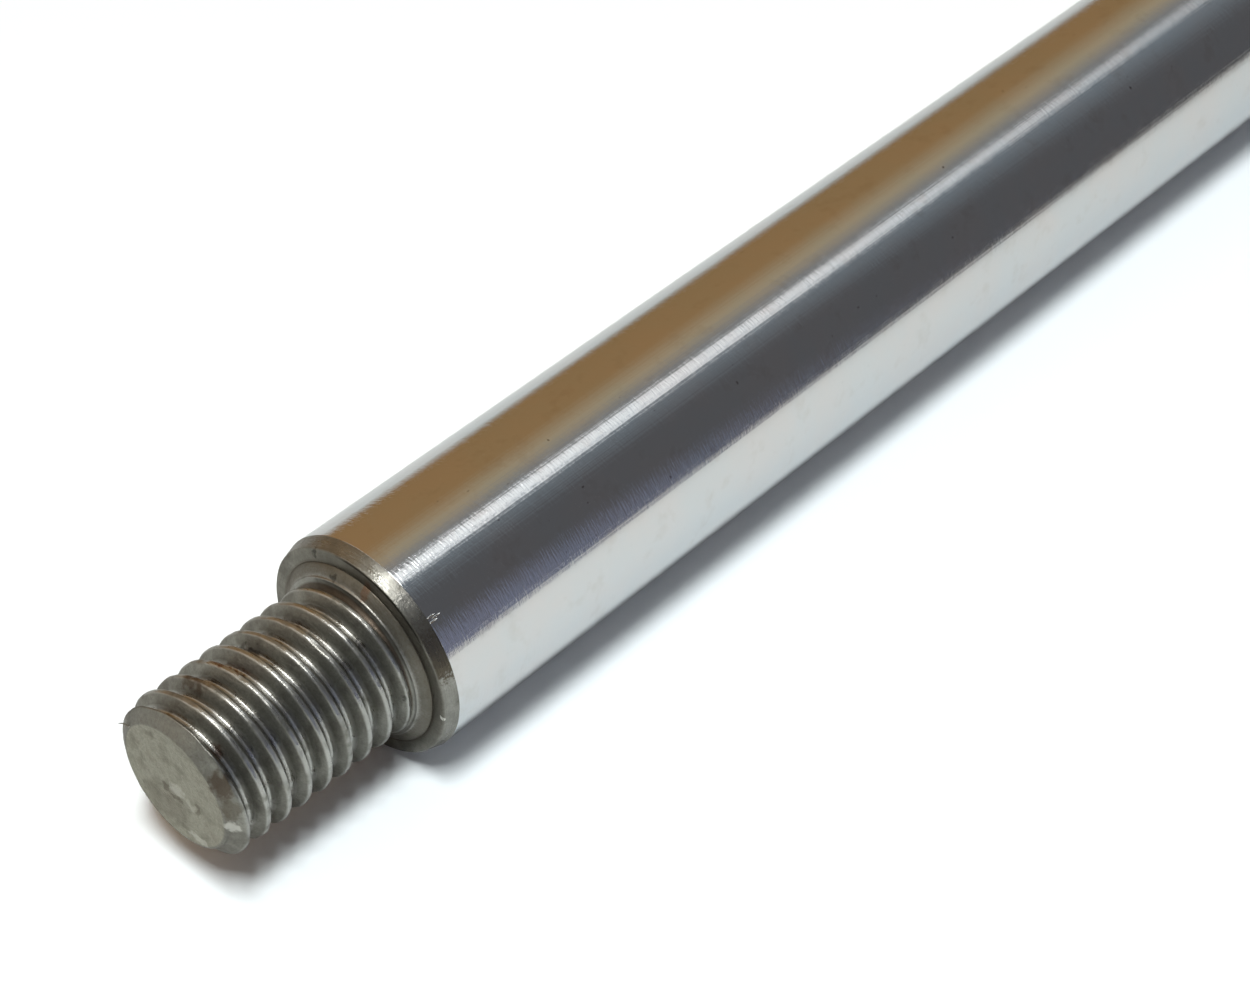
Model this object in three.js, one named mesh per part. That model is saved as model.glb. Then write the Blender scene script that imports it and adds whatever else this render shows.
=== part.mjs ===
// A hard-chromed round steel rod with a threaded stud turned on one end.
// The rod is machined from one bar: stud, shoulder and barrel are one solid piece of steel.
// Millimetres. +X runs along the axis, from the stud's end face (x = 0) to the plain far end.
import * as THREE from 'three';
import { mergeVertices } from 'three/addons/utils/BufferGeometryUtils.js';

// Rod
const OVERALL_LENGTH = 160;
const ROD_RADIUS = 14 / 2;
const ROD_CHAMFER_LENGTH = 0.95; // shallow turned taper between the shoulder face and the chrome
const ROD_CHAMFER_DEPTH = 0.27;
const FAR_CHAMFER = 0.8;

// Stud, M10 x 1.5 with a right-hand thread
const STUD_LENGTH = 13.6; // end face to shoulder face
const THREAD_PITCH = 1.5;
const THREAD_MAJOR_RADIUS = 9.96 / 2;
const THREAD_MINOR_RADIUS = 8.16 / 2;
const THREAD_FLANK_SLOPE = Math.tan(Math.PI / 6); // axial run for each unit of radius, 60 degree thread
const CREST_WIDTH = 0.22;
const END_FACE_RADIUS = 7.86 / 2;
const END_CHAMFER_LENGTH = 0.6;

// Thread run-out and the collar that flares into the shoulder
const RUN_OUT_FROM_SHOULDER = 0.63; // bottom of the narrow V-groove that ends the thread
const RUN_OUT_RADIUS = 4.72;
const RUN_OUT_FRONT_WALL = 0.08; // length along the axis of the V-groove's front wall
const COLLAR_FRONT_FROM_SHOULDER = 0.54;
const COLLAR_FRONT_RADIUS = 5.12;
const COLLAR_FRONT_ROUNDING = 0.09;
const COLLAR_MIDDLE_FROM_SHOULDER = 0.28; // the flare bulges slightly towards this point
const COLLAR_MIDDLE_RADIUS = 5.62;
const COLLAR_BACK_RADIUS = 5.88;

// Fineness of the faceted surface
const SIDES = 40; // a multiple of four, so that the widest points lie on the Y and Z axes
const COLLAR_STEPS = 4;
const SMALLEST_STEP = 0.03; // a thread row closer than this to either end of the thread joins it
const MERGE_DISTANCE = 0.001;

// Where each feature lies along the axis
const THREAD_END = STUD_LENGTH - RUN_OUT_FROM_SHOULDER;
const ROD_START = STUD_LENGTH + ROD_CHAMFER_LENGTH;
const FLANK_WIDTH = (THREAD_MAJOR_RADIUS - THREAD_MINOR_RADIUS) * THREAD_FLANK_SLOPE;
const ROOT_WIDTH = THREAD_PITCH - CREST_WIDTH - 2 * FLANK_WIDTH;
const CREST_BACK_EDGE = 12.89; // back edge of the last crest, at the angle below
const CREST_BACK_EDGE_ANGLE = THREE.MathUtils.degToRad(185); // from +Y towards +Z

// Helical height: how far a point lies along the axis, less how far the thread climbs to reach its angle.
const climb = (angle) => THREAD_PITCH * angle / (2 * Math.PI);
const CREST_BACK_HEIGHT = CREST_BACK_EDGE - climb(CREST_BACK_EDGE_ANGLE);

// Distance behind the crest's back edge, within one pitch, of a point at a helical height.
function placeInPitch(height) {
  return THREE.MathUtils.euclideanModulo(height - CREST_BACK_HEIGHT, THREAD_PITCH);
}

// Radius of the endless thread: down the back flank, along the root, up the front flank, along the crest.
function threadRadius(height) {
  const fromBackEdge = placeInPitch(height);
  const fromFrontEdge = THREAD_PITCH - CREST_WIDTH - fromBackEdge;
  const flankFall = Math.min(fromBackEdge, fromFrontEdge) / THREAD_FLANK_SLOPE;
  return Math.max(THREAD_MINOR_RADIUS, THREAD_MAJOR_RADIUS - Math.max(0, flankFall));
}

// Radius left by the chamfer on the end of the stud.
function endChamferRadius(x) {
  const slope = (THREAD_MAJOR_RADIUS - END_FACE_RADIUS) / END_CHAMFER_LENGTH;
  return END_FACE_RADIUS + x * slope;
}

// Radius left by the front wall of the V-groove at the end of the thread.
function runOutRadius(x) {
  const slope = (THREAD_MAJOR_RADIUS - RUN_OUT_RADIUS) / RUN_OUT_FRONT_WALL;
  return RUN_OUT_RADIUS + (THREAD_END - x) * slope;
}

function studRadius(x, angle) {
  const thread = threadRadius(x - climb(angle));
  return Math.min(thread, endChamferRadius(x), runOutRadius(x));
}

// Helical heights of the rows of vertices: the edges of each turn, and the middle of each of its flanks.
function threadRowHeights() {
  const frontFlankStart = FLANK_WIDTH + ROOT_WIDTH;
  const rowsInPitch = [
    0,
    FLANK_WIDTH / 2,
    FLANK_WIDTH,
    frontFlankStart,
    frontFlankStart + FLANK_WIDTH / 2,
    frontFlankStart + FLANK_WIDTH,
  ];
  const firstTurn = Math.floor((-2 * THREAD_PITCH - CREST_BACK_HEIGHT) / THREAD_PITCH);
  const lastTurn = Math.ceil((THREAD_END - CREST_BACK_HEIGHT) / THREAD_PITCH);
  const heights = [];
  for (let turn = firstTurn; turn <= lastTurn; turn += 1) {
    for (const place of rowsInPitch) {
      heights.push(CREST_BACK_HEIGHT + turn * THREAD_PITCH + place);
    }
  }
  return heights;
}

// The turned outline behind the thread, from the V-groove to the far end's centre.
function turnedOutline() {
  const collarFront = STUD_LENGTH - COLLAR_FRONT_FROM_SHOULDER;
  const collar = new THREE.QuadraticBezierCurve(
    new THREE.Vector2(COLLAR_FRONT_RADIUS + COLLAR_FRONT_ROUNDING, collarFront + COLLAR_FRONT_ROUNDING),
    new THREE.Vector2(COLLAR_MIDDLE_RADIUS, STUD_LENGTH - COLLAR_MIDDLE_FROM_SHOULDER),
    new THREE.Vector2(COLLAR_BACK_RADIUS, STUD_LENGTH),
  );
  return [
    new THREE.Vector2(COLLAR_FRONT_RADIUS, collarFront),
    ...collar.getPoints(COLLAR_STEPS),
    new THREE.Vector2(ROD_RADIUS - ROD_CHAMFER_DEPTH, STUD_LENGTH),
    new THREE.Vector2(ROD_RADIUS, ROD_START),
    new THREE.Vector2(ROD_RADIUS, OVERALL_LENGTH - FAR_CHAMFER),
    new THREE.Vector2(ROD_RADIUS - FAR_CHAMFER, OVERALL_LENGTH),
    new THREE.Vector2(0, OVERALL_LENGTH),
  ];
}

// Moves a lathe's thread rows onto the helix. A row that would pass either end of the thread stays there.
function cutThread(lathe, heights) {
  const position = lathe.getAttribute('position');
  const rows = lathe.parameters.points.length;
  for (let column = 0; column <= SIDES; column += 1) {
    const latheAngle = column / SIDES * 2 * Math.PI;
    const angle = latheAngle + Math.PI / 2; // from +Y towards +Z, once the lathe's axis is laid along X
    heights.forEach((height, row) => {
      let x = height + climb(latheAngle);
      if (x < SMALLEST_STEP) x = 0;
      if (x > THREAD_END - SMALLEST_STEP) x = THREAD_END;
      const radius = studRadius(x, angle);
      const index = column * rows + row + 1; // row 0 is the centre of the end face
      position.setXYZ(index, radius * Math.sin(latheAngle), x, radius * Math.cos(latheAngle));
    });
  }
}

// Joins vertices that coincide, and drops the triangles that they leave without area.
function closedSurface(geometry) {
  const bare = new THREE.BufferGeometry();
  bare.setAttribute('position', geometry.getAttribute('position'));
  bare.setIndex(geometry.getIndex());
  const merged = mergeVertices(bare, MERGE_DISTANCE);
  const kept = [];
  const corners = merged.getIndex().array;
  for (let i = 0; i < corners.length; i += 3) {
    const [a, b, c] = corners.slice(i, i + 3);
    if (a !== b && b !== c && c !== a) kept.push(a, b, c);
  }
  merged.setIndex(kept);
  merged.computeVertexNormals();
  return merged;
}

function rodGeometry() {
  const quarterTurnClimb = climb(Math.PI / 2);
  const heights = threadRowHeights().map((height) => height + quarterTurnClimb);
  const threadRows = heights.map((height) => new THREE.Vector2(THREAD_MINOR_RADIUS, height));
  const outline = [new THREE.Vector2(0, 0), ...threadRows, ...turnedOutline()];
  const lathe = new THREE.LatheGeometry(outline, SIDES);
  cutThread(lathe, heights);
  lathe.rotateZ(-Math.PI / 2); // lay the lathe's axis along +X
  return closedSurface(lathe);
}

const chromedSteel = new THREE.MeshStandardMaterial({
  color: new THREE.Color(0.62, 0.62, 0.63),
  roughness: 0.12,
  metalness: 1,
});

const rod = new THREE.Mesh(rodGeometry(), chromedSteel);
rod.name = 'stud_ended_rod';

const group = new THREE.Group();
group.add(rod);

export default group;
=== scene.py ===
"""A hard-chromed round steel rod with a threaded stud turned on one end, lying on a pale floor.

The rod's axis is the X axis, with the stud's end face at x = 0. An angle round the rod is measured
from +Y towards +Z. The visible surface is built in four stretches of the one bar: the threaded
stud, the turned shoulder, the chromed barrel and the turned far end. A hair of metal on the rim of
the stud's end is a fifth piece. Shapes and lights are in metres. Materials work in millimetres.
"""
import math

import bpy
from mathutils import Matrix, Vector, noise

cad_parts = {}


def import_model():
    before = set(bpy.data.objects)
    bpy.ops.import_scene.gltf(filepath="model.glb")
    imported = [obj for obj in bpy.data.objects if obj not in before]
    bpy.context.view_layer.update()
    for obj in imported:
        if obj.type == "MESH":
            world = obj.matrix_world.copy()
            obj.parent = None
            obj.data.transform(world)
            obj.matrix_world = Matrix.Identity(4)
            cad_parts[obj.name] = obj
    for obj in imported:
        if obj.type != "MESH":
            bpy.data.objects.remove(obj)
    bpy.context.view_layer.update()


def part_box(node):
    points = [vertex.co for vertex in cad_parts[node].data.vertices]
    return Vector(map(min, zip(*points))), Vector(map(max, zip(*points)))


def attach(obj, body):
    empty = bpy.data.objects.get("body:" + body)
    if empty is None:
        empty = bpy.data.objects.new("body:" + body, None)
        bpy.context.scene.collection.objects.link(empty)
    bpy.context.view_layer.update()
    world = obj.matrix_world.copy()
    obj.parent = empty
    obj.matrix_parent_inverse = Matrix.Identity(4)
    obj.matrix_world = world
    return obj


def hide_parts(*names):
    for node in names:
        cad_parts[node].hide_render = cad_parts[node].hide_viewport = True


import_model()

MM = 0.001
FULL_TURN = 2 * math.pi

# Sizes that the frame gives
ROD_NODE = "stud_ended_rod"
ROD_LOW, ROD_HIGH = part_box(ROD_NODE)
OVERALL_LENGTH = ROD_HIGH.x
ROD_RADIUS = ROD_HIGH.z
FLOOR_HEIGHT = ROD_LOW.z

# Rod
ROD_CHAMFER_LENGTH = 0.95 * MM
ROD_CHAMFER_DEPTH = 0.27 * MM
FAR_CHAMFER = 0.8 * MM
EDGE_RING = 0.04 * MM  # how far an extra ring lies from a hard edge, to keep its shading crisp

# Stud, M10 x 1.5 with a right-hand thread
STUD_LENGTH = 13.6 * MM
THREAD_PITCH = 1.5 * MM
THREAD_MAJOR_RADIUS = 4.98 * MM
THREAD_MINOR_RADIUS = 4.08 * MM
THREAD_FLANK_SLOPE = math.tan(math.radians(30))
CREST_WIDTH = 0.22 * MM
CREST_SOFTENING = 0.07 * MM
ROOT_SOFTENING = 0.10 * MM
END_FACE_RADIUS = 3.93 * MM
END_CHAMFER_LENGTH = 0.6 * MM
END_CHAMFER_SOFTENING = 0.05 * MM
CREST_BACK_EDGE = 12.89 * MM  # back edge of the last crest, at the angle below
CREST_BACK_EDGE_ANGLE = math.radians(185)

# Wear and unevenness of the stud: depths, and how many patches of noise there are per millimetre
DENT_DEPTH = 0.16 * MM
DENT_THRESHOLD = 0.18
DENTS_PER_MM = 0.8
RUB_DEPTH = 0.012 * MM
RUBS_PER_MM = 2.5
CHAMFER_WAVE = 0.035 * MM
CHAMFER_WAVES_PER_MM = 0.7
DENT_SEED, RUB_SEED, CHAMFER_SEED = 3.0, 9.0, 5.0

# Run-out groove and collar behind the thread
RUN_OUT_FROM_SHOULDER = 0.63 * MM
RUN_OUT_RADIUS = 4.72 * MM
RUN_OUT_FRONT_WALL = 0.08 * MM
COLLAR_FRONT_FROM_SHOULDER = 0.54 * MM
COLLAR_FRONT_RADIUS = 5.12 * MM
COLLAR_FRONT_ROUNDING = 0.09 * MM
COLLAR_MIDDLE_FROM_SHOULDER = 0.28 * MM
COLLAR_MIDDLE_RADIUS = 5.62 * MM
COLLAR_BACK_RADIUS = 5.88 * MM

# The end face: slightly hollow and rippled, with the nibs that parting off leaves near its middle
FACE_HOLLOW = 0.05 * MM
FACE_RIM_STEEPNESS = 8  # the hollow is at its full depth an eighth of the way in
FACE_RIPPLE = 0.006 * MM
RIPPLES_PER_MM = 2.2
RIPPLE_SEED = 2.0
NIBS = [  # place in Y and Z, radius, height
    (-0.10 * MM, -0.25 * MM, 0.62 * MM, 0.045 * MM),
    (-1.15 * MM, -0.75 * MM, 0.52 * MM, 0.030 * MM),
]
NIB_STEEPNESS = 2.2
NIB_ROUNDING = 0.2

# The hair of metal on the rim: points along it and its thickness there, in millimetres
BURR = [
    ((0.06, 3.28, 2.20), 0.050), ((0.06, 3.60, 2.16), 0.046), ((0.06, 3.90, 2.04), 0.040),
    ((0.06, 4.15, 1.88), 0.030), ((0.06, 4.35, 1.70), 0.012),
]
BURR_SIDES = 8
BURR_FLATNESS = 0.6

# The shoulder's outer edge is broken by hand: offsets along X and along the radius
SHOULDER_EDGE_RADIUS = ROD_RADIUS - ROD_CHAMFER_DEPTH
BROKEN_EDGE = [(0.0, -0.06 * MM), (0.02 * MM, -0.02 * MM), (0.07 * MM, 0.02 * MM), (0.12 * MM, 0.034 * MM)]
CHROME_EDGE_BREAK = (0.03 * MM, 0.008 * MM)

# Fineness of the meshes
COLUMNS = 288
ROWS_PER_PITCH = 30
COLLAR_ROUNDING_STEPS = 6
COLLAR_FLARE_STEPS = 12
FACE_RINGS = 26
BARREL_STRETCHES = 24
HIDDEN_RING = 0.5  # a ring that another piece hides, as a share of the radius
SAME_PLACE = 0.0001 * MM

THREAD_END = STUD_LENGTH - RUN_OUT_FROM_SHOULDER
ROD_START = STUD_LENGTH + ROD_CHAMFER_LENGTH
FAR_EDGE = OVERALL_LENGTH - FAR_CHAMFER


# ---------------------------------------------------------------- mesh helpers

def soft_min(a, b, width):
    """The smaller of two values, with the corner between them rounded over a width."""
    share = max(0.0, min(1.0, 0.5 + 0.5 * (b - a) / width))
    return b + (a - b) * share - width * share * (1 - share)


def soft_max(a, b, width):
    return -soft_min(-a, -b, width)


def coincide(a, b):
    return all(abs(p - q) < SAME_PLACE for p, q in zip(a, b))


def ring_grid(rows):
    """Vertices on rings round the X axis, and for each ring the numbers of its vertices.

    A row is a function of the angle that gives (x, radius). Points of neighbouring rows that
    coincide become one, so that rows may run together.
    """
    vertices = []
    grid = []
    for row in rows:
        ring = []
        for column in range(COLUMNS):
            angle = FULL_TURN * column / COLUMNS
            x, radius = row(angle)
            point = (x, radius * math.cos(angle), radius * math.sin(angle))
            if grid and coincide(point, vertices[grid[-1][column]]):
                ring.append(grid[-1][column])
            else:
                ring.append(len(vertices))
                vertices.append(point)
        grid.append(ring)
    return vertices, grid


def side_faces(grid):
    """Faces between neighbouring rings. Where two rings run together there is none."""
    faces = []
    for lower, upper in zip(grid, grid[1:]):
        for column in range(COLUMNS):
            after = (column + 1) % COLUMNS
            corners = dict.fromkeys([lower[column], upper[column], upper[after], lower[after]])
            if len(corners) > 2:
                faces.append(list(corners))
    return faces


def close_end(vertices, faces, ring, turned_back):
    """Closes a ring with a fan of faces round a new point on the axis."""
    centre = len(vertices)
    vertices.append((vertices[ring[0]][0], 0.0, 0.0))
    for column in range(COLUMNS):
        after = (column + 1) % COLUMNS
        edge = [ring[after], ring[column]] if turned_back else [ring[column], ring[after]]
        faces.append([centre, *edge])


def new_piece(name, vertices, faces):
    mesh = bpy.data.meshes.new(name)
    mesh.from_pydata(vertices, [], faces)
    mesh.validate()
    piece = bpy.data.objects.new(name, mesh)
    bpy.context.scene.collection.objects.link(piece)
    return piece


def round_surface(name, rows):
    """A smooth closed surface round the X axis, through rows of points."""
    vertices, grid = ring_grid(rows)
    faces = side_faces(grid)
    close_end(vertices, faces, grid[0], False)
    close_end(vertices, faces, grid[-1], True)
    piece = new_piece(name, vertices, faces)
    piece.data.shade_smooth()
    return piece


def circle_rows(profile):
    """Rows that are plain circles, from a list of (x, radius)."""
    return [lambda angle, point=point: point for point in profile]


# ---------------------------------------------------------------- the stud

def climb(angle):
    """How far along the axis the thread runs over an angle."""
    return THREAD_PITCH * angle / FULL_TURN


# Helical height is a point's x, less how far the thread climbs to reach the point's angle
CREST_BACK_HEIGHT = CREST_BACK_EDGE - climb(CREST_BACK_EDGE_ANGLE)


def thread_radius(height):
    """Radius of the endless thread at a helical height, with softened crest and root corners."""
    from_back = (height - CREST_BACK_HEIGHT) % THREAD_PITCH
    from_front = THREAD_PITCH - CREST_WIDTH - from_back
    if from_front < 0:
        beyond = min(-from_front, CREST_WIDTH + from_front)
        flank = THREAD_MAJOR_RADIUS + beyond / THREAD_FLANK_SLOPE
    else:
        flank = THREAD_MAJOR_RADIUS - min(from_back, from_front) / THREAD_FLANK_SLOPE
    crested = soft_min(flank, THREAD_MAJOR_RADIUS, CREST_SOFTENING)
    return soft_max(crested, THREAD_MINOR_RADIUS, ROOT_SOFTENING)


def end_chamfer_radius(x):
    slope = (THREAD_MAJOR_RADIUS - END_FACE_RADIUS) / END_CHAMFER_LENGTH
    return END_FACE_RADIUS + x * slope


def run_out_radius(x):
    slope = (THREAD_MAJOR_RADIUS - RUN_OUT_RADIUS) / RUN_OUT_FRONT_WALL
    return RUN_OUT_RADIUS + (THREAD_END - x) * slope


def uneven(x, angle, per_mm, seed):
    """Smooth noise on the stud, about -1 to 1, with so many patches per millimetre."""
    reach = THREAD_MAJOR_RADIUS / MM * per_mm
    place = (x / MM * per_mm + seed, math.cos(angle) * reach, math.sin(angle) * reach)
    return noise.noise(Vector(place))


def crest_wear(x, angle):
    """How far the crest is knocked back by handling."""
    dent = max(0.0, uneven(x, angle, DENTS_PER_MM, DENT_SEED) - DENT_THRESHOLD) * DENT_DEPTH
    return dent + RUB_DEPTH * (1 + uneven(x, angle, RUBS_PER_MM, RUB_SEED))


def stud_radius(x, angle):
    crest_limit = THREAD_MAJOR_RADIUS - crest_wear(x, angle)
    thread = soft_min(thread_radius(x - climb(angle)), crest_limit, CREST_SOFTENING)
    wave = CHAMFER_WAVE * uneven(0.0, angle, CHAMFER_WAVES_PER_MM, CHAMFER_SEED)
    cut = soft_min(thread, end_chamfer_radius(x) + wave, END_CHAMFER_SOFTENING)
    return min(cut, run_out_radius(x))


def thread_row(height):
    """A row of the thread: it follows the helix until it meets either end of the stud."""
    def row(angle):
        x = min(max(height + climb(angle), 0.0), THREAD_END)
        return x, stud_radius(x, angle)
    return row


def thread_rows():
    spacing = THREAD_PITCH / ROWS_PER_PITCH
    count = math.ceil((THREAD_END + THREAD_PITCH) / spacing)
    return [thread_row(-THREAD_PITCH + number * spacing) for number in range(count + 1)]


def collar_rounding():
    """The rounded front of the collar, a quarter circle, as (x, radius)."""
    centre = STUD_LENGTH - COLLAR_FRONT_FROM_SHOULDER + COLLAR_FRONT_ROUNDING
    points = []
    for step in range(COLLAR_ROUNDING_STEPS + 1):
        turn = math.pi - math.pi / 2 * step / COLLAR_ROUNDING_STEPS
        x = centre + COLLAR_FRONT_ROUNDING * math.cos(turn)
        points.append((x, COLLAR_FRONT_RADIUS + COLLAR_FRONT_ROUNDING * math.sin(turn)))
    return points


def collar_profile():
    """From the bottom of the V-groove to the shoulder face, as (x, radius)."""
    rounding = collar_rounding()
    start = Vector(rounding[-1])
    middle = Vector((STUD_LENGTH - COLLAR_MIDDLE_FROM_SHOULDER, COLLAR_MIDDLE_RADIUS))
    end = Vector((STUD_LENGTH, COLLAR_BACK_RADIUS))
    flare = []
    for step in range(1, COLLAR_FLARE_STEPS + 1):
        t = step / COLLAR_FLARE_STEPS
        flare.append(start * (1 - t) ** 2 + middle * 2 * t * (1 - t) + end * t ** 2)
    return rounding + [tuple(point) for point in flare]


def nib_height(y, z):
    """How far a nib stands up from the end face at a point."""
    highest = 0.0
    for nib_y, nib_z, size, height in NIBS:
        nearness = 1 - math.hypot(y - nib_y, z - nib_z) / size
        highest = max(highest, height * soft_max(0.0, min(1.0, NIB_STEEPNESS * nearness), NIB_ROUNDING))
    return highest


def face_row(share):
    """A ring of the end face, at a share of its radius."""
    def row(angle):
        radius = END_FACE_RADIUS * share
        y, z = radius * math.cos(angle), radius * math.sin(angle)
        hollow = FACE_HOLLOW * min(1.0, FACE_RIM_STEEPNESS * (1 - share))
        ripple = FACE_RIPPLE * noise.noise(Vector((y / MM, z / MM, RIPPLE_SEED)) * RIPPLES_PER_MM)
        return max(0.0, hollow + ripple - nib_height(y, z)), radius
    return row


def threaded_stud():
    face = [face_row(number / FACE_RINGS) for number in range(1, FACE_RINGS)]
    return round_surface("threaded_stud", face + thread_rows() + circle_rows(collar_profile()))


def rim_burr():
    """A hair of steel left by the cutter on the rim of the end face."""
    vertices = []
    for centre, radius in BURR:
        for side in range(BURR_SIDES):
            turn = FULL_TURN * side / BURR_SIDES
            rise = BURR_FLATNESS * math.sin(turn)
            around = Vector((math.cos(turn), rise, rise))
            vertices.append((Vector(centre) + around * radius) * MM)
    last_ring = len(vertices) - BURR_SIDES
    faces = [tuple(range(BURR_SIDES))[::-1], tuple(range(last_ring, len(vertices)))]
    for low in range(0, last_ring, BURR_SIDES):
        high = low + BURR_SIDES
        for side in range(BURR_SIDES):
            after = (side + 1) % BURR_SIDES
            faces.append((low + side, low + after, high + after, high + side))
    piece = new_piece("rim_burr", vertices, faces)
    piece.data.shade_smooth()
    return piece


# ---------------------------------------------------------------- shoulder, barrel and far end

def turned_shoulder():
    """The shoulder face and the shallow turned chamfer, between the collar and the chrome."""
    edge_break_x, edge_break_radius = CHROME_EDGE_BREAK
    profile = [(STUD_LENGTH, COLLAR_BACK_RADIUS * HIDDEN_RING), (STUD_LENGTH, COLLAR_BACK_RADIUS)]
    profile += [(STUD_LENGTH + along, SHOULDER_EDGE_RADIUS + out) for along, out in BROKEN_EDGE]
    profile += [
        (ROD_START - edge_break_x, ROD_RADIUS - edge_break_radius),
        (ROD_START, ROD_RADIUS),
        (ROD_START, ROD_RADIUS * HIDDEN_RING),
    ]
    return round_surface("turned_shoulder", circle_rows(profile))


def chrome_barrel():
    """The plated stretch. A ring close to each end keeps the end caps from bending its shading."""
    step_length = (FAR_EDGE - ROD_START) / BARREL_STRETCHES
    profile = [(ROD_START, ROD_RADIUS), (ROD_START + EDGE_RING, ROD_RADIUS)]
    profile += [(ROD_START + step * step_length, ROD_RADIUS) for step in range(1, BARREL_STRETCHES)]
    profile += [(FAR_EDGE - EDGE_RING, ROD_RADIUS), (FAR_EDGE, ROD_RADIUS)]
    return round_surface("chrome_barrel", circle_rows(profile))


def turned_far_end():
    """The far end, chamfered and faced after plating. A ring close to each edge keeps the edge crisp."""
    face_radius = ROD_RADIUS - FAR_CHAMFER
    profile = [
        (FAR_EDGE, ROD_RADIUS),
        (FAR_EDGE + EDGE_RING, ROD_RADIUS - EDGE_RING),
        (OVERALL_LENGTH - EDGE_RING, face_radius + EDGE_RING),
        (OVERALL_LENGTH, face_radius),
        (OVERALL_LENGTH, face_radius - EDGE_RING),
    ]
    return round_surface("turned_far_end", circle_rows(profile))


# ---------------------------------------------------------------- shader helpers

class Shader:
    """Short names for building a node tree."""

    def __init__(self, tree):
        self.tree = tree
        tree.nodes.clear()

    def connect(self, socket, value):
        if isinstance(value, bpy.types.NodeSocket):
            self.tree.links.new(value, socket)
        else:
            socket.default_value = value

    def node(self, kind, inputs=None, **settings):
        made = self.tree.nodes.new(kind)
        for key, value in settings.items():
            setattr(made, key, value)
        for key, value in (inputs or {}).items():
            self.connect(made.inputs[key], value)
        return made

    def math(self, operation, *values):
        made = self.node("ShaderNodeMath", dict(enumerate(values)), operation=operation)
        return made.outputs[0]

    def vector(self, operation, *values):
        made = self.node("ShaderNodeVectorMath", dict(enumerate(values)), operation=operation)
        return made.outputs["Value" if operation == "LENGTH" else "Vector"]

    def join(self, x, y, z):
        return self.node("ShaderNodeCombineXYZ", {0: x, 1: y, 2: z}).outputs[0]

    def noise(self, place, scale, detail, roughness):
        """Noise between 0 and 1. The place is in millimetres, so the scale is in patches per millimetre."""
        made = self.node("ShaderNodeTexNoise", {
            "Vector": place, "Scale": scale, "Detail": detail, "Roughness": roughness})
        return made.outputs["Fac"]

    def product(self, *values):
        result = values[0]
        for value in values[1:]:
            result = self.math("MULTIPLY", result, value)
        return result

    def largest(self, *values):
        result = values[0]
        for value in values[1:]:
            result = self.math("MAXIMUM", result, value)
        return result

    def mix(self, factor, a, b, blend="MIX"):
        """A colour between two colours. The sockets 0, 6 and 7 are the factor and the two colours."""
        made = self.node("ShaderNodeMix", data_type="RGBA", blend_type=blend)
        for index, value in ((0, factor), (6, a), (7, b)):
            self.connect(made.inputs[index], value)
        return made.outputs[2]

    def ramp(self, factor, stops):
        made = self.node("ShaderNodeValToRGB", {"Fac": factor})
        elements = made.color_ramp.elements
        elements[0].position, elements[0].color = stops[0]
        elements[1].position, elements[1].color = stops[-1]
        for position, colour in stops[1:-1]:
            elements.new(position).color = colour
        return made.outputs["Color"]

    def spread(self, value, low, high, out_low=0.0, out_high=1.0):
        """Maps low..high to out_low..out_high, held at both ends."""
        made = self.node("ShaderNodeMapRange", {
            "Value": value, "From Min": low, "From Max": high, "To Min": out_low, "To Max": out_high})
        return made.outputs["Result"]

    def between(self, value, low, high, softness):
        """A mask for a value that lies between two limits."""
        opening = self.spread(value, low - softness, low + softness)
        closing = self.spread(value, high - softness, high + softness, 1.0, 0.0)
        return self.math("MULTIPLY", opening, closing)

    def about_zero(self, noise_value, size):
        """Noise moved to lie about zero, and scaled."""
        return self.math("MULTIPLY", self.math("SUBTRACT", noise_value, 0.5), size)

    def finish(self, kind, **inputs):
        """Ends the tree with a shader node. An input's name has _ where the socket's has a space."""
        surface = self.node(kind, {name.replace("_", " "): value for name, value in inputs.items()})
        is_world = kind == "ShaderNodeBackground"
        output = self.node("ShaderNodeOutputWorld" if is_world else "ShaderNodeOutputMaterial")
        self.tree.links.new(surface.outputs[0], output.inputs["Surface"])


def new_material(name):
    material = bpy.data.materials.new(name)
    material.use_nodes = True
    return material, Shader(material.node_tree)


NEVER_ZERO = 0.01


class Place:
    """Where a point lies on the rod, as sockets. Lengths are in millimetres, angles in degrees."""

    def __init__(self, shader):
        self.shader = shader
        position = shader.node("ShaderNodeTexCoord").outputs["Object"]
        scaled = shader.node("ShaderNodeVectorMath", {0: position, "Scale": 1 / MM}, operation="SCALE")
        self.point = scaled.outputs[0]
        self.x, y, z = shader.node("ShaderNodeSeparateXYZ", {0: self.point}).outputs
        self.radius = shader.math("SQRT", shader.math("MULTIPLY_ADD", y, y, shader.math("MULTIPLY", z, z)))
        turn = shader.math("DIVIDE", shader.math("ARCTAN2", z, y), FULL_TURN)
        self.angle = shader.math("MULTIPLY", shader.math("FRACT", shader.math("ADD", turn, 1.0)), 360.0)
        safe_radius = shader.math("MAXIMUM", self.radius, NEVER_ZERO)
        self.round_y = shader.math("DIVIDE", y, safe_radius)
        self.round_z = shader.math("DIVIDE", z, safe_radius)

    def streaks(self, along, around, detail, roughness):
        """Noise that runs at one scale along the profile and at another round the rod."""
        math_node = self.shader.math
        profile = math_node("MULTIPLY", math_node("ADD", self.x, self.radius), along)
        round_y = math_node("MULTIPLY", self.round_y, around)
        round_z = math_node("MULTIPLY", self.round_z, around)
        return self.shader.noise(self.shader.join(profile, round_y, round_z), 1.0, detail, roughness)


def on_rod(x, radius, degrees):
    angle = math.radians(degrees)
    return (x, radius * math.cos(angle), radius * math.sin(angle))


PATCH_EDGE = (0.75, 1.15)  # where a patch begins to fade and where it ends, as shares of its size


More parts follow.
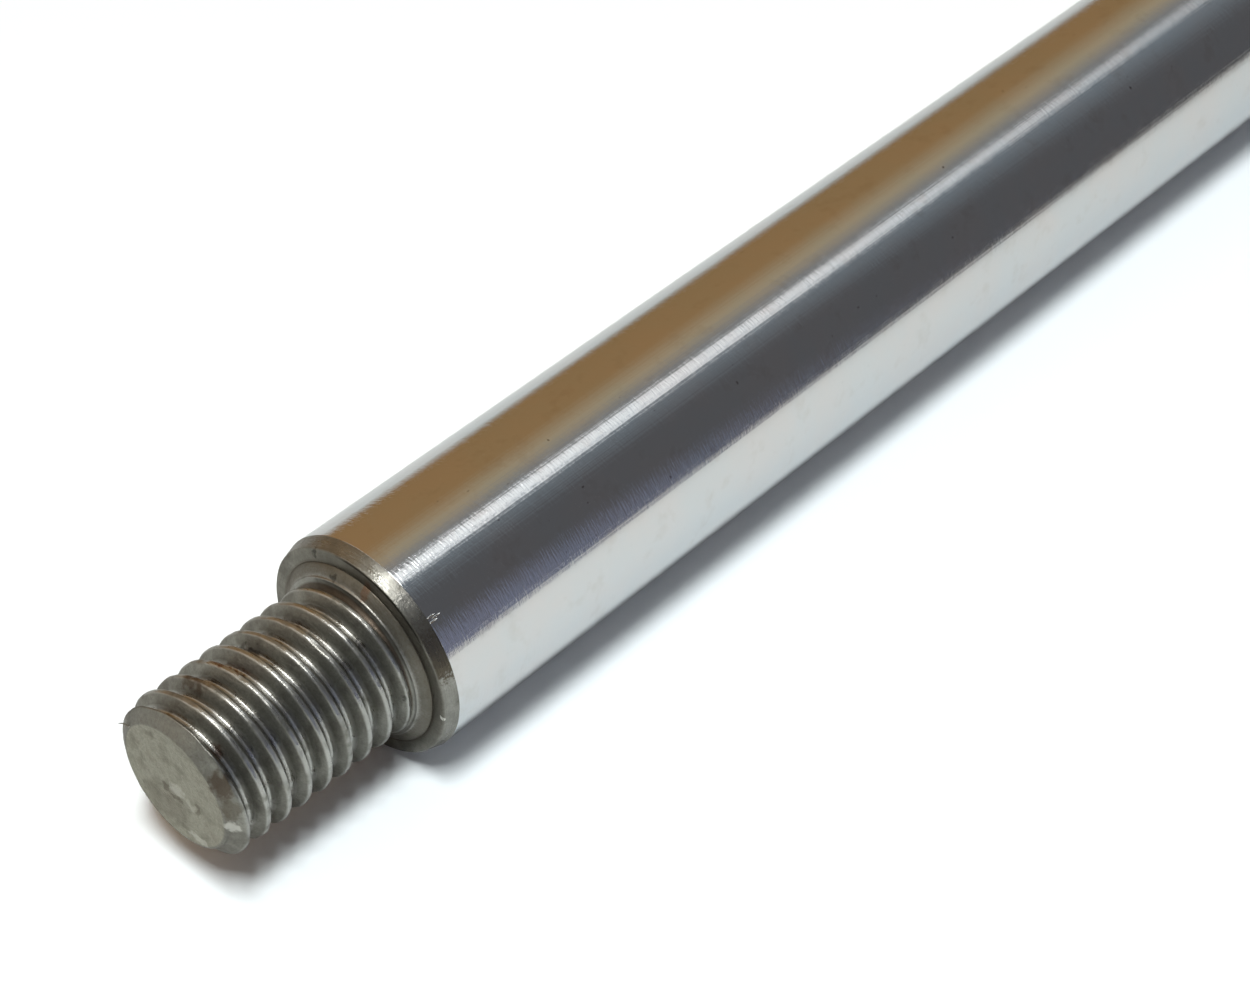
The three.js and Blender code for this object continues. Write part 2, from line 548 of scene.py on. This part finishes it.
def patch(shader, point, centre, size):
    """A mask that is 1 inside a patch of one size, or of three sizes along X, Y and Z."""
    sizes = size if isinstance(size, tuple) else (size, size, size)
    offset = shader.vector("SUBTRACT", point, centre)
    distance = shader.vector("LENGTH", shader.vector("DIVIDE", offset, sizes))
    return shader.spread(distance, *PATCH_EDGE, 1.0, 0.0)


# ---------------------------------------------------------------- hard chrome

# How much of its light each metal keeps near grazing angles, where chromium and iron dip
CHROME_EDGE = (0.76, 0.77, 0.77, 1.0)
STEEL_EDGE = (0.57, 0.55, 0.54, 1.0)

COOL_CHROME = (0.535, 0.548, 0.548, 1.0)
WARM_CHROME = (0.555, 0.545, 0.535, 1.0)
CHROME_SMEAR = (0.46, 0.43, 0.40, 1.0)
SMEAR_STRENGTH = 0.35
CHROME_PIT = (0.30, 0.28, 0.27, 1.0)
CHROME_ROUGHNESS = (0.06, 0.16)

# Noise: patches per millimetre, detail, roughness
CLOUDS = (0.22, 4.0, 0.6)
SMEARS = (0.55, 3.0, 0.65)
PITS = (2.3, 1.0, 0.5)

# Streaky noise: scale along the profile, scale round the rod, detail, roughness
ROUND_MARKS = (9.0, 8.0, 3.0, 0.6)
LONG_MARKS = (0.03, 55.0, 2.0, 0.6)
HAZE = (1.2, 12.0, 4.0, 0.7)

# The noise value where an effect begins, and where it is full
CLOUD_RANGE = (0.40, 0.62)
SMEAR_RANGE = (0.56, 0.70)
PIT_RANGE = (0.78, 0.82)
HAZE_RANGE = (0.35, 0.75)

CHROME_NICKS = [  # three that make a small V: x and angle
    on_rod(x, ROD_RADIUS / MM, degrees) for x, degrees in ((14.80, 133.4), (14.80, 135.8), (15.12, 134.6))]
NICK_SIZE = (0.26, 0.04, 0.04)
NICK_DEPTH = 0.04
ROUND_MARK_DEPTH = 0.012
LONG_MARK_DEPTH = 0.0042
COARSE_POLISH = 1.7  # the marks beside the shoulder are this much deeper
COARSE_FADE = (34.0, 16.0)  # along the rod: where they begin to deepen, and where they are deepest


def chrome_colour(shader, place):
    """Clouds of two faint tints, with faint smears and a few pits."""
    cloud = shader.spread(shader.noise(place.point, *CLOUDS), *CLOUD_RANGE)
    smear = shader.spread(shader.noise(place.point, *SMEARS), *SMEAR_RANGE)
    pit = shader.spread(shader.noise(place.point, *PITS), *PIT_RANGE)
    tinted = shader.mix(cloud, COOL_CHROME, WARM_CHROME)
    smeared = shader.mix(shader.product(smear, SMEAR_STRENGTH), tinted, CHROME_SMEAR)
    return shader.mix(pit, smeared, CHROME_PIT)


def chrome_height(shader, place):
    """Fine polishing marks round the rod, fainter streaks along it, and a small nick by the shoulder."""
    coarser = shader.spread(place.x, *COARSE_FADE, 1.0, COARSE_POLISH)
    round_marks = shader.product(place.streaks(*ROUND_MARKS), coarser, ROUND_MARK_DEPTH)
    long_marks = shader.product(place.streaks(*LONG_MARKS), LONG_MARK_DEPTH)
    nicks = [patch(shader, place.point, centre, NICK_SIZE) for centre in CHROME_NICKS]
    nick = shader.product(shader.largest(*nicks), NICK_DEPTH)
    return shader.math("SUBTRACT", shader.math("ADD", round_marks, long_marks), nick)


def chrome():
    """Mirror-like hard chrome."""
    material, shader = new_material("polished_hard_chrome")
    place = Place(shader)
    bump = shader.node("ShaderNodeBump", {"Height": chrome_height(shader, place), "Distance": MM})
    shader.finish(
        "ShaderNodeBsdfPrincipled",
        Metallic=1.0,
        Base_Color=chrome_colour(shader, place),
        Roughness=shader.spread(place.streaks(*HAZE), *HAZE_RANGE, *CHROME_ROUGHNESS),
        Specular_Tint=CHROME_EDGE,
        Normal=bump.outputs[0],
    )
    return material


# ---------------------------------------------------------------- bare turned steel

DARK_STEEL = (0.128, 0.124, 0.105, 1.0)
LIGHT_STEEL = (0.232, 0.229, 0.199, 1.0)
SPECK = (0.10, 0.095, 0.08, 1.0)
SPECK_STRENGTH = 0.55
FACE_LIFT = (1.56, 1.56, 1.47, 1.0)
BURNISHED = (0.54, 0.54, 0.51, 1.0)
BROWN = (0.060, 0.042, 0.028, 1.0)
RUST = (0.130, 0.060, 0.028, 1.0)
OLIVE = (0.085, 0.071, 0.050, 1.0)
NEAR_BLACK = (0.020, 0.018, 0.014, 1.0)
PALE = (0.62, 0.61, 0.55, 1.0)

# Noise, as for the chrome
MOTTLE = (0.8, 6.0, 0.65)
GRAIN = (7.0, 3.0, 0.7)
RUBBING = (0.9, 3.0, 0.5)
TOOL_MARKS = (9.0, 4.0, 3.0, 0.6)

# The noise value where an effect begins, and where it is full
PALE_STEEL_RANGE = (0.35, 0.68)
SPECK_RANGE = (0.30, 0.55)
RUBBED_RANGE = (0.30, 0.46)
WORN_RANGE = (0.3, 0.7)
SHOULDER_DIRT_AND_SHADE_RANGE = (0.25, 0.55)
COLLAR_DIRT_RANGE = (0.25, 0.60)
BROWNER_RANGE = (0.45, 0.60)
OLIVE_RANGE = (0.1, 0.35)
ROOT_DIRT_RANGE = (0.52, 0.66)


def fade(edge, first, full):
    """Where a finish has its first trace and its full strength, in millimetres from an edge."""
    return (edge / MM + first, edge / MM + full)


# Along the rod
ON_THREAD = fade(THREAD_END, 0.01, -0.05)
BEHIND_CHAMFER = fade(END_CHAMFER_LENGTH, -0.05, 0.30)
NEAR_STUD = fade(STUD_LENGTH, 6.4, 4.4)
ON_END_FACE = (0.10, 0.06)
ON_FAR_FACE = fade(OVERALL_LENGTH, -0.03, -0.01)

# By radius
WITHIN_CHAMFER = fade(END_FACE_RADIUS, 0.02, -0.08)
ON_CREST = fade(THREAD_MAJOR_RADIUS, -0.14, -0.03)
IN_ROOT = fade(THREAD_MINOR_RADIUS, 0.32, 0.14)
IN_GROOVE = fade(THREAD_MAJOR_RADIUS, -0.03, -0.18)
ON_COLLAR = fade(COLLAR_BACK_RADIUS, 0.17, 0.07)
ON_BAND = fade(SHOULDER_EDGE_RADIUS, -0.01, 0.03)

# Stretches with soft ends: from, to, softness. Millimetres.
COLLAR_LIP = (*fade(STUD_LENGTH - COLLAR_FRONT_FROM_SHOULDER, -0.02, 0.14), 0.04)
GROOVE = (*fade(THREAD_END, -0.07, 0.15), 0.03)
FLARE = (*fade(STUD_LENGTH, -0.50, 0.10), 0.10)
SHOULDER_RADII = (COLLAR_BACK_RADIUS / MM - 0.13, SHOULDER_EDGE_RADIUS / MM - 0.03, 0.12)
EDGE_LINE_RADII = (*fade(SHOULDER_EDGE_RADIUS, -0.13, 0.005), 0.02)

# Parts of the way round the rod, in degrees
SHOULDER_ARC = (55, 205, 20)
EDGE_LINE_ARC = (82, 142, 5)
OLIVE_ARC_START = (124, 142)
OLIVE_ARC_END = (165, 161)
OLIVE_RAGGEDNESS = 26.0

# Strengths, from 0 to 1
EDGE_POLISH = 0.5
LIP_POLISH = 0.3
BAND_POLISH = 0.14
GROOVE_DIRT = 0.8
SHOULDER_DIRT_AND_SHADE = 0.48
COLLAR_DIRT = 0.6
EDGE_LINE_DARKNESS = 0.9
OLIVE_STAIN_AND_SHADE = 0.95
ROOT_DIRT = 0.45

# Roughness, and how much the polish, the band's finer turning and the tool marks change it
DULL_ROUGHNESS = (0.46, 0.34)
POLISH_SMOOTHING = -0.19
BAND_SMOOTHING = -0.07
MARK_ROUGHENING = 0.25
STEEL_METALLIC = (0.88, 1.0)
HALF_POLISHED = 0.5  # from here on the steel is fully metallic

# Heights in millimetres
DULL_MARK_DEPTH = 0.010
POLISHED_MARK_DEPTH = 0.006
FACE_RING_DEPTH = 0.018
BAND_RING_DEPTH = 0.022
GRAIN_DEPTH = 0.012
MOTTLE_DEPTH = 0.05

STAIN_RAGGEDNESS = 1.1
STAIN_FRAYS_PER_MM = 2.2
STAIN_FRAY_DETAIL = 4.0

# Stain patches on the bare steel, with the nibs' painted shadow and highlights: centre, size, strength,
# colour. Millimetres and degrees.
STAINS_AND_NIB_SHADING = [
    ((0.0, 1.0, -2.2), (1.0, 2.0, 1.2), 0.30, OLIVE),
    ((0.0, 1.6, 2.9), 0.36, 0.40, OLIVE),
    ((0.0, 0.5, 1.6), 0.26, 0.25, OLIVE),
    ((0.0, 3.1, 1.5), 0.45, 0.35, OLIVE),
    ((0.0, 2.8, -0.3), 0.40, 0.30, OLIVE),
    (on_rod(0.35, 4.4, 146), (0.6, 0.7, 0.9), 0.80, BROWN),
    (on_rod(0.35, 4.3, 165), (0.5, 0.7, 0.8), 0.60, OLIVE),
    (on_rod(3.4, 4.3, 76), (0.5, 1.3, 0.9), 0.70, BROWN),
    (on_rod(5.2, 4.4, 80), (0.4, 1.6, 1.0), 0.75, RUST),
    (on_rod(7.0, 4.3, 70), (0.4, 1.0, 0.9), 0.70, NEAR_BLACK),
    (on_rod(9.8, 4.4, 72), (0.5, 1.2, 0.9), 0.55, BROWN),
    (on_rod(1.1, 4.4, 127), (0.4, 0.7, 0.6), 0.55, RUST),
    # Painted shadow: dark lines round the edges of the two nibs on the end face.
    ((0.0, 0.75, -0.65), (1.0, 0.30, 0.42), 0.65, OLIVE),
    ((0.0, 0.05, -1.05), (1.0, 0.55, 0.16), 0.65, OLIVE),
    ((0.0, -1.72, -0.70), (1.0, 0.16, 0.55), 0.60, OLIVE),
    # Painted highlight: pale patches on the two nibs of the end face.
    ((0.0, -0.10, -0.25), (1.0, 0.50, 0.50), 0.28, PALE),
    ((0.0, -1.15, -0.80), (1.0, 0.40, 0.42), 0.15, PALE),
    ((0.0, -1.6, -3.2), (1.0, 0.9, 0.30), 0.30, PALE),
    (on_rod(0.30, 4.3, 183), (0.6, 0.45, 0.50), 0.50, PALE),
    (on_rod(13.6, 6.55, 63), 0.30, 0.75, NEAR_BLACK),
    (on_rod(13.5, 5.65, 103), (0.5, 0.28, 0.75), 0.45, RUST),
    (on_rod(13.5, 5.30, 78), (0.5, 0.30, 0.30), 0.65, NEAR_BLACK),
    (on_rod(12.2, 4.9, 176), (0.4, 0.4, 0.30), 0.60, NEAR_BLACK),
    (on_rod(13.6, 6.5, 186), 0.14, 0.95, PALE),
]


class TurnedSteel:
    """Bare turned steel: dull mottled flanks, burnished crests and roots, brown staining."""

    def __init__(self, shader):
        self.shader = shader
        self.place = place = Place(shader)
        self.mottle = shader.noise(place.point, *MOTTLE)
        self.grain = shader.noise(place.point, *GRAIN)
        self.marks = place.streaks(*TOOL_MARKS)
        self.on_thread = shader.spread(place.x, *ON_THREAD)
        self.near_stud = shader.spread(place.x, *NEAR_STUD)
        self.band = shader.spread(place.radius, *ON_BAND)
        self.root = shader.spread(place.radius, *IN_ROOT)
        self.end_face = shader.product(
            shader.spread(place.x, *ON_END_FACE), shader.spread(place.radius, *WITHIN_CHAMFER))
        self.polish = self.polish_mask()

    def polish_mask(self):
        """Where handling and turning have burnished the steel: crests, roots, collar lip and band."""
        shader, place = self.shader, self.place
        rubbed = shader.spread(shader.noise(place.point, *RUBBING), *RUBBED_RANGE)
        crest = shader.spread(place.radius, *ON_CREST)
        behind_chamfer = shader.spread(place.x, *BEHIND_CHAMFER)
        ridges = shader.largest(crest, self.root)
        edges = shader.product(ridges, self.on_thread, behind_chamfer, rubbed, EDGE_POLISH)
        lip = shader.product(shader.between(place.x, *COLLAR_LIP), rubbed, LIP_POLISH)
        band = shader.product(self.band, rubbed, BAND_POLISH)
        return shader.largest(edges, lip, band)

    def clean_colour(self):
        shader = self.shader
        dull = shader.mix(shader.spread(self.mottle, *PALE_STEEL_RANGE), DARK_STEEL, LIGHT_STEEL)
        specks = shader.spread(self.grain, *SPECK_RANGE, SPECK_STRENGTH, 0.0)
        speckled = shader.mix(specks, dull, SPECK)
        lifted = shader.mix(1.0, speckled, FACE_LIFT, "MULTIPLY")
        faced = shader.mix(self.end_face, speckled, lifted)
        return shader.mix(self.polish, faced, BURNISHED)

    def dark_layers(self):
        """Dark layers from the groove to the shoulder, and in the roots, as (mask, colour); on the shoulder
        face and the band they are partly painted shade.
        """
        shader, place, mottle = self.shader, self.place, self.mottle
        groove = shader.product(
            shader.spread(place.radius, *IN_GROOVE), shader.between(place.x, *GROOVE), GROOVE_DIRT)
        # The shoulder face is darkened in olive on its upper and near side: partly grime, partly painted
        # shade.
        shoulder = shader.product(
            shader.between(place.radius, *SHOULDER_RADII), shader.between(place.angle, *SHOULDER_ARC),
            shader.spread(mottle, *SHOULDER_DIRT_AND_SHADE_RANGE), self.near_stud, SHOULDER_DIRT_AND_SHADE)
        collar = shader.product(
            shader.between(place.x, *FLARE), shader.spread(place.radius, *ON_COLLAR),
            shader.spread(self.grain, *COLLAR_DIRT_RANGE), COLLAR_DIRT)
        collar_colour = shader.mix(shader.spread(mottle, *BROWNER_RANGE), OLIVE, BROWN)
        # A dark line just inside the shoulder's outer edge, from 82 to 142 degrees round the rod.
        edge_line = shader.product(
            shader.between(place.radius, *EDGE_LINE_RADII), shader.between(place.angle, *EDGE_LINE_ARC),
            self.near_stud, EDGE_LINE_DARKNESS)
        # Olive on the turned band from about 124 to 165 degrees: partly a real stain with a ragged edge,
        # partly a painted dark reflection.
        ragged_angle = shader.math("ADD", shader.about_zero(self.grain, OLIVE_RAGGEDNESS), place.angle)
        band = shader.product(
            self.band, shader.spread(ragged_angle, *OLIVE_ARC_START),
            shader.spread(ragged_angle, *OLIVE_ARC_END), shader.spread(mottle, *OLIVE_RANGE),
            self.near_stud, OLIVE_STAIN_AND_SHADE)
        root = shader.product(
            self.root, self.on_thread, shader.spread(mottle, *ROOT_DIRT_RANGE), ROOT_DIRT)
        return [
            (groove, BROWN), (shoulder, OLIVE), (collar, collar_colour),
            (edge_line, NEAR_BLACK), (band, OLIVE), (root, BROWN),
        ]

    def stains_and_nib_shading(self):
        """Patches with ragged outlines, as (mask, colour): stain patches, and the painted shadow lines
        round the nibs and painted highlights on them.
        """
        shader, point = self.shader, self.place.point
        frays = shader.node("ShaderNodeTexNoise", {
            "Vector": point, "Scale": STAIN_FRAYS_PER_MM, "Detail": STAIN_FRAY_DETAIL})
        shift = shader.vector("SUBTRACT", frays.outputs["Color"], (0.5, 0.5, 0.5))
        ragged = shader.vector("MULTIPLY_ADD", shift, (STAIN_RAGGEDNESS,) * 3, point)
        return [
            (shader.product(patch(shader, ragged, centre, size), strength), colour)
            for centre, size, strength, colour in STAINS_AND_NIB_SHADING
        ]

    def colour(self):
        colour = self.clean_colour()
        for mask, layer in self.dark_layers() + self.stains_and_nib_shading():
            colour = self.shader.mix(mask, colour, layer)
        return colour

    def roughness(self):
        shader = self.shader
        worn = shader.spread(self.mottle, *WORN_RANGE, *DULL_ROUGHNESS)
        streaked = shader.math("ADD", shader.about_zero(self.marks, MARK_ROUGHENING), worn)
        turned = shader.math("MULTIPLY_ADD", self.band, BAND_SMOOTHING, streaked)
        return shader.math("MULTIPLY_ADD", self.polish, POLISH_SMOOTHING, turned)

    def height(self):
        """Tool marks round the rod, deeper on the faced ends and the band, with grain and waviness."""
        shader = self.shader
        mark_depth = shader.spread(self.polish, 0.0, 1.0, DULL_MARK_DEPTH, POLISHED_MARK_DEPTH)
        far_face = shader.spread(self.place.x, *ON_FAR_FACE)
        faced = shader.largest(self.end_face, far_face)
        mark_depth = shader.math("MULTIPLY_ADD", faced, FACE_RING_DEPTH, mark_depth)
        mark_depth = shader.math("MULTIPLY_ADD", self.band, BAND_RING_DEPTH, mark_depth)
        height = shader.math("MULTIPLY", self.marks, mark_depth)
        height = shader.math("MULTIPLY_ADD", self.grain, GRAIN_DEPTH, height)
        return shader.math("MULTIPLY_ADD", self.mottle, MOTTLE_DEPTH, height)


def turned_steel():
    material, shader = new_material("turned_steel")
    steel = TurnedSteel(shader)
    bump = shader.node("ShaderNodeBump", {"Height": steel.height(), "Distance": MM})
    shader.finish(
        "ShaderNodeBsdfPrincipled",
        Metallic=shader.spread(steel.polish, 0.0, HALF_POLISHED, *STEEL_METALLIC),
        Base_Color=steel.colour(),
        Roughness=steel.roughness(),
        Specular_Tint=STEEL_EDGE,
        Normal=bump.outputs[0],
    )
    return material


# ---------------------------------------------------------------- floor, light and camera

FLOOR_SIDE = 3.0
FLOOR_COLOUR = (0.86, 0.86, 0.86, 1.0)
WHITE = (1.0, 1.0, 1.0, 1.0)

# The soft light of the room, from the near side (-1) to the far side (1)
COOL_LIGHT = (0.28, 0.31, 0.44, 1.0)
DIM_LIGHT = (0.13, 0.13, 0.14, 1.0)
DUSK_LIGHT = (0.27, 0.31, 0.35, 1.0)
GREY_LIGHT = (0.32, 0.32, 0.32, 1.0)
PALE_WARM_LIGHT = (0.52, 0.43, 0.29, 1.0)
WARM_LIGHT = (0.42, 0.26, 0.12, 1.0)
ROOM = [
    (-1.00, COOL_LIGHT), (-0.87, COOL_LIGHT), (-0.79, DIM_LIGHT),
    (-0.45, DIM_LIGHT), (-0.12, DUSK_LIGHT), (0.10, GREY_LIGHT),
    (0.30, PALE_WARM_LIGHT), (0.55, WARM_LIGHT), (1.00, WARM_LIGHT),
]

# Soft boxes: length, width and brightness
KEY_BOX = (0.24, 0.11, 47.0)
KEY_TARGET = (0.03, 0.0, 0.0)
KEY_DIRECTION = (-0.25, -0.18, 1.0)
KEY_DISTANCE = 0.58
KEY_COLOUR = (0.90, 0.98, 1.0)
FILL_BOX = (0.6, 0.6, 0.8)
FILL_PLACE = (-0.50, 0.35, 0.35)

# Two strips in line above the rod, parallel to it
STRIP_HEIGHT = 0.5
STRIP_OFFSET = -0.04
STRIP_WIDTH = 0.10
STUD_STRIP_START = -0.40
STRIP_MEETING = 0.10
BARREL_STRIP_END = 0.90
STUD_STRIP_BRIGHTNESS = 16.5
BARREL_STRIP_BRIGHTNESS = 0.65
STRIP_GRID = math.radians(105)

# The camera stands at the near side, beyond the stud, and looks along and down at the rod
CAMERA_PLACE = (-59.64 * MM, -86.47 * MM, 114.02 * MM)
CAMERA_LENS = 82.25
CAMERA_SENSOR = 36.0
CAMERA_REACH = (0.005, 20.0)
LOOK_DOWN = 42.43  # degrees below the horizon
LOOK_RIGHT = 47.83  # degrees from +Y towards +X


def floor():
    material, shader = new_material("pale_floor")
    shader.finish("ShaderNodeBsdfDiffuse", Color=FLOOR_COLOUR)
    half = FLOOR_SIDE / 2
    corners = [(-half, -half, 0), (half, -half, 0), (half, half, 0), (-half, half, 0)]
    piece = new_piece("floor", corners, [(0, 1, 2, 3)])
    piece.location.z = FLOOR_HEIGHT
    piece.data.materials.append(material)


def world():
    """Soft room light, warm on the far side and cool on the near side. The camera sees plain white."""
    made = bpy.data.worlds.new("studio")
    made.use_nodes = True
    bpy.context.scene.world = made
    shader = Shader(made.node_tree)
    direction = shader.node("ShaderNodeTexCoord").outputs["Generated"]
    across = shader.node("ShaderNodeSeparateXYZ", {0: direction}).outputs["Y"]
    room = shader.ramp(shader.spread(across, -1.0, 1.0), [((y + 1) / 2, light) for y, light in ROOM])
    is_camera = shader.node("ShaderNodeLightPath").outputs["Is Camera Ray"]
    shader.finish("ShaderNodeBackground", Color=shader.mix(is_camera, room, WHITE))


def soft_box(name, length, width, brightness):
    lamp = bpy.data.lights.new(name, "AREA")
    lamp.shape = "RECTANGLE"
    lamp.size = length
    lamp.size_y = width
    lamp.energy = brightness * math.pi * length * width
    piece = bpy.data.objects.new(name, lamp)
    bpy.context.scene.collection.objects.link(piece)
    return piece


def key_light():
    """The overhead soft box that lights the floor and throws the shadow. Reflections leave it out."""
    piece = soft_box("key_light", *KEY_BOX)
    direction = Vector(KEY_DIRECTION).normalized()
    piece.location = Vector(KEY_TARGET) + direction * KEY_DISTANCE
    piece.rotation_euler = direction.to_track_quat("Z", "X").to_euler()
    piece.data.color = KEY_COLOUR
    piece.visible_glossy = False


def strip_light(name, start, end, brightness):
    """A long soft box parallel to the rod, which only reflections show."""
    piece = soft_box(name, end - start, STRIP_WIDTH, brightness)
    piece.location = ((start + end) / 2, STRIP_OFFSET, STRIP_HEIGHT)
    piece.visible_diffuse = False
    return piece


def highlights():
    """Two strips in line: a bright one over the stud, and a dimmer one with a grid over the barrel."""
    strip_light("stud_strip", STUD_STRIP_START, STRIP_MEETING, STUD_STRIP_BRIGHTNESS)
    over_barrel = strip_light("barrel_strip", STRIP_MEETING, BARREL_STRIP_END, BARREL_STRIP_BRIGHTNESS)
    over_barrel.data.spread = STRIP_GRID


def fill_light():
    """A broad dim soft box beyond the stud's end, which opens up the bare steel's dark upper side."""
    piece = soft_box("fill", *FILL_BOX)
    piece.location = FILL_PLACE
    piece.rotation_euler = Vector(FILL_PLACE).to_track_quat("Z", "X").to_euler()
    piece.visible_diffuse = False


def camera():
    made = bpy.data.cameras.new("camera")
    made.lens = CAMERA_LENS
    made.sensor_width = CAMERA_SENSOR
    made.clip_start, made.clip_end = CAMERA_REACH
    piece = bpy.data.objects.new("camera", made)
    piece.location = CAMERA_PLACE
    piece.rotation_euler = (math.radians(90 - LOOK_DOWN), 0.0, math.radians(-LOOK_RIGHT))
    bpy.context.scene.collection.objects.link(piece)
    bpy.context.scene.camera = piece


def rod():
    """Builds the stretches of the rod and the burr, puts them under the root body and hides the CAD rod
    they replace.
    """
    finishes = {"turned_steel": turned_steel(), "chrome": chrome()}
    pieces = [
        (threaded_stud(), "turned_steel"),
        (turned_shoulder(), "turned_steel"),
        (chrome_barrel(), "chrome"),
        (turned_far_end(), "turned_steel"),
        (rim_burr(), "turned_steel"),
    ]
    for piece, slot in pieces:
        piece.data.materials.append(finishes[slot])
        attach(piece, "root")
        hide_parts(ROD_NODE)


def main():
    rod()
    floor()
    world()
    key_light()
    highlights()
    fill_light()
    camera()
    bpy.context.scene.view_settings.view_transform = "Standard"


main()
